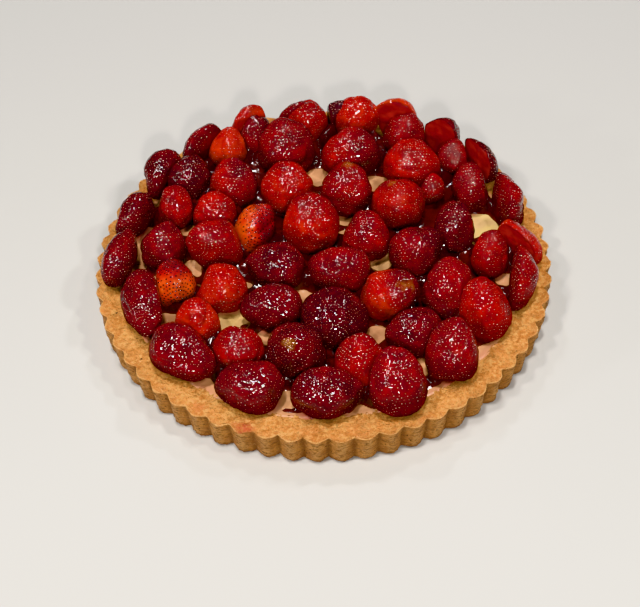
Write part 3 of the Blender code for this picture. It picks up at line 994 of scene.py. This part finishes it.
def ripening(node, ways, seed):
    """(lift in ripeness, patch) for every point of a berry."""
    lift = np.full(len(ways), LIFTS.get(node, 0.0) + 0.03 * math.sin(seed * 2.4))
    if node in SIDES:
        turn, rise, amount = SIDES[node]
        facing = ways @ direction(turn, rise)
        lift += amount * np.clip((facing + 0.1) / 0.8, 0, 1) ** 1.5
    patch = np.zeros(len(ways))
    if node in PATCHES:
        turn, rise, size = PATCHES[node]
        away = np.arccos(np.clip(ways @ direction(turn, rise), -1, 1))
        away += 0.14 * lattice_noise(ways + seed, 0.16)
        patch = 0.8 * np.clip((size - away) / (0.9 * size), 0, 1)
    return lift, patch


# %% Making every berry
seed_places = {"pale": [], "dark": []}


def add_berry(name, node, planes, turn, rise, cut_side, seed, slot):
    turned_away = node in ("berry_07", "berry_09", "berry_14", "berry_16")
    made = berry_mesh(planes, turn, rise, cut_side, turned_away, seed)
    points, faces, attributes, ways, seeds, outward = made
    attributes["unripe"], attributes["patch"] = ripening(node, ways, seed)
    berry = object_from(name, points, faces, attributes)
    berry.data.materials.append(berry_materials[slot])
    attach(berry, "root")
    if node:
        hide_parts(node)
    kind = "dark" if node in ("berry_32", "berry_38") else "pale"
    seed_places[kind].append((seeds, outward))
    return triangle_count(berry)


def egg_planes(centre, half, turn, rise):
    """Planes touching an egg all round, for a berry that has no solid of its own."""
    axes = tip_axes(turn, rise)
    ways = spread_ways(160)
    touch = np.sqrt((((ways @ axes.T) * half) ** 2).sum(axis=1))
    return [(way, way @ centre + depth) for way, depth in zip(ways, touch)], [], centre


# Berries that lean over their neighbours: a shift from the solid's middle, and half sizes, in mm.
LEANING = {
    "berry_18": ((-0.8, 1.0, 0.0), (16.0, 7.7, 10.3)),
    "berry_19": ((-0.4, 1.5, 0.0), (19.0, 7.2, 10.3)),
    "berry_28": ((-2.6, 0.0, 0.0), (15.0, 17.0, 12.5)),
    "berry_57": ((-2.8, 2.0, 1.0), (12.0, 11.0, 11.0)),
    "berry_58": ((-3.5, 1.0, 0.5), (12.0, 12.5, 11.5)),
}
total = 0
for number, node in enumerate(BERRY_NODES):
    turn, rise = TIPS[node]
    planes = planes_of(node)
    if node in LEANING:
        shift, half = (np.array(values) * MM for values in LEANING[node])
        low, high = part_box(node)
        planes = egg_planes(np.array((low + high) / 2) + shift, half, turn, rise)
    total += add_berry("straw" + node, node, planes, turn, rise, CUT_SIDES.get(node), number + 1, SLOT_OF[node])

small_centre = np.array([60.0, 42.0, 27.0]) * MM
small_half = np.array([9.0, 6.5, 7.5]) * MM
total += add_berry(
    "strawberry_small", "", egg_planes(small_centre, small_half, 90, 60), 90, 60, None, 77, "berry_red"
)
print("berries:", total, "triangles;", sum(len(s) for group in seed_places.values() for s, _ in group), "seeds")

# %% [markdown]
# ## Seeds
# Each seed is a tiny tear-shaped nut, one and a half millimetres long, lying in its pit.
# There are thousands, so a geometry tree puts one small mesh on every place, turned to the
# skin, with its size varied from a fixed seed.

# %% Seeds on every berry


def seed_shape():
    """A low tear-shaped nut of a few faces, lying along X with its round side up."""
    around = 5
    rows = [(-0.75, 0.0, 0.0), (-0.45, 0.36, 0.22), (0.15, 0.48, 0.30), (0.8, 0.0, 0.05)]
    points, faces = [], []
    points.append((rows[0][0], 0, 0))
    for x, wide, high in rows[1:3]:
        for i in range(around):
            a = math.tau * i / around
            points.append((x, wide * math.cos(a), high * math.sin(a)))
    points.append((rows[3][0], 0, rows[3][2]))
    for i in range(around):
        j = (i + 1) % around
        faces.append((0, 1 + j, 1 + i))
        faces.append((1 + i, 1 + j, 1 + around + j, 1 + around + i))
        faces.append((1 + around + i, 1 + around + j, len(points) - 1))
    return object_from("one_seed", np.array(points) * MM, faces)


def seed_tree(material, shape, numbers):
    tree, net, sizes = geometry_tree("seeds_on_points_" + material.name, numbers)
    outward = net.make("GeometryNodeInputNamedAttribute", {"data_type": "FLOAT_VECTOR"}, {"Name": "outward"})
    turn = net.make("FunctionNodeAlignRotationToVector", {"axis": "Z"}, {"Vector": outward})
    info = net.make("GeometryNodeObjectInfo", {}, {"Object": shape}, "Geometry")
    size = net.node("FunctionNodeRandomValue", {"data_type": "FLOAT"}, {})
    net.tree.links.new(sizes["Smallest"].socket, size.inputs[2])
    net.tree.links.new(sizes["Largest"].socket, size.inputs[3])
    size.inputs["Seed"].default_value = 11
    size = Flow(net, size.outputs[1])
    placed = net.make(
        "GeometryNodeInstanceOnPoints",
        {},
        {"Points": sizes["Geometry"], "Instance": info, "Rotation": turn, "Scale": size},
    )
    tint = net.node("FunctionNodeRandomValue", {"data_type": "FLOAT"}, {"Seed": 5})
    values = {"Geometry": placed, "Name": "tint", "Value": Flow(net, tint.outputs[1])}
    tinted = net.make("GeometryNodeStoreNamedAttribute", {"data_type": "FLOAT", "domain": "INSTANCE"}, values)
    finish_tree(net, tinted, material)
    return tree


def make_seed_material(name, deep, light, coat):
    material, net, surface, where = new_material(name)
    colour = net.mix(net.attribute("tint") ** 1.6, deep, light)
    connect(net, surface, Base_Color=colour)
    fix(surface, Roughness=0.25, Coat_Weight=coat, Coat_Roughness=0.04, Coat_IOR=1.8)
    return material


# Pale seeds run from deep red to near-white pink, with few of the palest: partly the seeds' colour, partly painted
# glints.
pale_seed_and_glint = make_seed_material("seed_pale", (0.40, 0.050, 0.040), (0.95, 0.58, 0.50), 1.0)
dark_seed = make_seed_material("seed_dark", (0.012, 0.004, 0.003), (0.05, 0.012, 0.006), 1.0)
shape = seed_shape()
seed_sizes = {"Smallest": 0.28, "Largest": 0.68}
dark_sizes = {"Smallest": 0.8, "Largest": 1.15}


def make_seeds(name, places, material, sizes):
    points = np.concatenate([p for p, _ in places])
    outward = np.concatenate([w for _, w in places])
    points = points + outward * 0.16 * MM
    thing = object_from(name, points, [])
    layer = thing.data.attributes.new("outward", "FLOAT_VECTOR", "POINT")
    layer.data.foreach_set("vector", outward.astype(np.float32).ravel())
    apply_tree(thing, seed_tree(material, shape, sizes), sizes)
    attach(thing, "root")
    print(name, triangle_count(thing), "triangles")
    return thing


for part, name in enumerate(("seeds_one", "seeds_two", "seeds_three")):
    make_seeds(name, seed_places["pale"][part::3], pale_seed_and_glint, seed_sizes)
make_seeds("seeds_dark", seed_places["dark"], dark_seed, dark_sizes)
bpy.data.objects.remove(shape)

# %% [markdown]
# ## Custard and glaze
# The custard is poured level, and shows only where the berries leave a gap. The clear glaze
# that was brushed over everything runs down and pools in the narrow gaps, where it takes
# the berries' colour; there it is coloured almost black, darkest where it lies deepest,
# which is painted shade. Both are poured surfaces, so one helper makes them: a round sheet
# of points at given heights, closed underneath. Where the custard is left open the glaze
# dips under it and can't be seen.

# %% Poured surfaces
# Open spots where bare custard shows: x, y and size in millimetres.
OPEN_SPOTS = [
    (-2, 66, 9), (31, 59, 9), (13, 31, 6), (-72, 26, 6), (-96, 16, 7), (-91, 25, 7), (-97, -2, 7),
    (-97, 7, 7), (-90, -10, 7), (-69, -1, 7), (31, 1, 10), (85, 24, 12), (-11, -25, 8), (-47, -38, 11),
    (-80, -38, 8), (26, -50, 8), (-30, -52, 7), (-20, -92, 8), (17, -101, 7), (-60, -81, 7),
    (47, -73, 7), (94, -16, 8), (-40, -15, 4), (93, 14, 5), (80, -66, 6), (13, 20, 5),
]
POUR_RINGS, POUR_COLUMNS = 100, 560


def poured_points():
    radius = np.linspace(1.0 * MM, RIM_INNER - 0.2 * MM, POUR_RINGS)[:, None]
    angle = np.linspace(0, math.tau, POUR_COLUMNS, endpoint=False)[None, :]
    return np.stack([radius * np.cos(angle), radius * np.sin(angle), 0 * radius * angle], axis=-1).reshape(-1, 3)


def poured_sheet(name, flat, height, attributes, depth):
    """A closed round slab whose top has these heights."""
    points = flat.copy()
    points[:, 2] = height
    under = points[-POUR_COLUMNS:].copy()
    under[:, 2] = height.min() - depth
    points = np.concatenate([points, under])
    attributes = {key: np.concatenate([value, value[-POUR_COLUMNS:]]) for key, value in attributes.items()}
    faces = [quad[::-1] for quad in ring_faces(POUR_RINGS + 1, POUR_COLUMNS).tolist()]
    faces.append(list(range(POUR_COLUMNS)))
    faces.append([POUR_RINGS * POUR_COLUMNS + i for i in range(POUR_COLUMNS)][::-1])
    return object_from(name, points, faces, attributes)


def two_nearest(flat, level):
    """Distance to the nearest berry and to the next, at one height."""
    points = flat + np.array([0, 0, level])
    first = np.full(len(points), 0.03)
    second = first.copy()
    for node in BERRY_NODES:
        low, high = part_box(node)
        near = (abs(points[:, 0] - (low.x + high.x) / 2) < (high.x - low.x) / 2 + 0.014) & (
            abs(points[:, 1] - (low.y + high.y) / 2) < (high.y - low.y) / 2 + 0.014
        )
        skin, trimmed, centre = planes_of(node)
        planes = [plane for plane in skin + trimmed if plane[0][2] > -0.9]
        normal = np.array([plane[0] for plane in planes])
        offset = np.array([plane[1] for plane in planes])
        gap = (points[near] @ normal.T - offset).max(axis=1)
        old_first, old_second = first[near], second[near]
        first[near] = np.minimum(old_first, gap)
        second[near] = np.minimum(old_second, np.maximum(old_first, gap))
    return first, second


def open_share(flat):
    share = np.zeros(len(flat))
    clean = share.copy()
    for x, y, size in OPEN_SPOTS:
        away = np.hypot(flat[:, 0] - x * MM, flat[:, 1] - y * MM) + 2.2 * MM * lattice_noise(flat, 4.5 * MM)
        here = np.clip(2.2 - 2.0 * away / (size * MM), 0, 1)
        clean = np.where(here > share, np.clip((size - 9) / 3, 0, 1), clean)
        share = np.maximum(share, here)
    return share * share * (3 - 2 * share), clean


flat = poured_points()
first, second = two_nearest(flat, CUSTARD_TOP + 4.5 * MM)
opened, clean = open_share(flat)
print("poured surfaces:", len(flat), "points, open share", round(float(opened.mean()), 3))

# %% [markdown]
# The custard dips and swells a little, and rises where it meets a berry or the rim. Juice
# has tinted it pink there; next to the berries the pink is partly painted shade, and at
# their feet the custard is darkened almost to black red, which is painted shade. The glaze
# is very glossy, and its near-black colour is painted shade.

# %% Custard and its glaze


def make_custard_material():
    material, net, surface, where = new_material("set_custard")
    stain, bare = net.attribute("stain"), net.attribute("bare")
    broad = net.noise(where, 60.0, 2.0)
    fine = net.noise(where, 500.0, 2.0)
    pink = net.mix(broad.step(0.35, 0.65), (0.72, 0.36, 0.19), (0.84, 0.44, 0.23))
    cream = net.mix(broad.step(0.40, 0.60), (0.96, 0.64, 0.30), (0.96, 0.70, 0.26))
    colour = net.mix(bare, pink, cream)
    # Near the rim the pink is juice; next to the berries it is partly juice and partly painted shade, and at their feet
    # the custard is darkened almost to black red, which is painted shade.
    colour = net.mix(stain.step(0.10, 0.60) * 0.8, colour, (0.66, 0.21, 0.15))
    colour = net.mix(stain.step(0.60, 1.0), colour, (0.22, 0.015, 0.012))
    bump = net.make("ShaderNodeBump", {}, {"Strength": 0.45, "Distance": 0.0006, "Height": fine + broad})
    connect(net, surface, Base_Color=colour, Normal=bump)
    fix(surface, Roughness=0.30, Coat_Weight=0.6, Coat_Roughness=0.06)
    return material


def make_glaze_gap_shade_material():
    material, net, surface, where = new_material("fruit_glaze")
    deep = net.attribute("deep")
    thin = net.noise(where, 160.0, 2.0)
    # Painted shade: the glaze is coloured almost black, darker where it lies deep in a narrow gap.
    colour = net.mix(deep.step(0.05, 0.6), (0.125, 0.0085, 0.006), (0.042, 0.0016, 0.0022))
    colour = net.mix(thin.step(0.52, 0.70) * 0.4, colour, (0.18, 0.012, 0.008))
    ripple = net.noise(where, 420.0, 2.0) + net.noise(where, 1100.0, 1.0) * 0.4
    bump = net.make("ShaderNodeBump", {}, {"Strength": 0.45, "Distance": 0.0006, "Height": ripple})
    connect(net, surface, Base_Color=colour, Normal=bump)
    fix(surface, Roughness=0.18, Specular_IOR_Level=0.3, Coat_Weight=0.7, Coat_Roughness=0.03, IOR=1.42)
    return material


def make_custard():
    to_rim = np.clip(RIM_INNER - 2.4 * MM - np.hypot(flat[:, 0], flat[:, 1]), 0, None)
    touching = np.exp(-np.clip(first + 1.5 * MM, 0, None) / (1.3 * MM))
    height = CUSTARD_TOP - 0.25 * MM + 0.30 * MM * lattice_noise(flat, 8 * MM)
    height += 0.14 * MM * lattice_noise(flat, 3 * MM)
    height += 0.8 * MM * touching + 0.4 * MM * np.exp(-to_rim / (1.2 * MM))
    edge = np.exp(-to_rim / (4.0 * MM)) * (0.24 + 0.20 * lattice_noise(flat, 9 * MM))
    return poured_sheet("custard_fill", flat, height, {"stain": np.maximum(touching, edge), "bare": clean}, 3 * MM)


def make_glaze_and_gap_shade():
    across = (first + second) / MM
    narrow = np.clip((13.0 - across) / 10.0, 0, 1)
    narrow = narrow * narrow * (3 - 2 * narrow) * (1 - opened)
    climb = np.exp(-np.clip(first, 0, None) / (1.2 * MM))
    from_middle = np.hypot(flat[:, 0], flat[:, 1])
    inside = np.clip((RIM_INNER - 1.5 * MM - from_middle) / (5 * MM), 0, 1)
    level = (1.6 * (1 - opened) + 7.0 * narrow + 2.2 * climb * (1 - opened)) * inside
    level += narrow * 0.9 * lattice_noise(flat + 3.0, 5 * MM) + 0.16 * lattice_noise(flat + 7.0, 3.2 * MM)
    height = CUSTARD_TOP + (level - 1.1) * MM
    # deep: how deep the glaze lies, which the material paints darker, as shade.
    return poured_sheet("glaze_pools", flat, height, {"deep": np.clip(level / 5.0, 0, 1)}, 0.6 * MM)


for thing, material, slot in (
    (make_custard(), make_custard_material(), "custard"),
    (make_glaze_and_gap_shade(), make_glaze_gap_shade_material(), "berry_dark"),
):
    thing.data.materials.append(material)
    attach(thing, "root")
    if slot == "custard":
        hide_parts("custard")
    print(thing.name, triangle_count(thing), "triangles")

# %% Compare the dressed tart with the solid one, and finish
low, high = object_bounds()
print("solid", [round(v, 4) for v in (*CAD_LOW, *CAD_HIGH)])
print("dressed", [round(v, 4) for v in (*low, *high)])
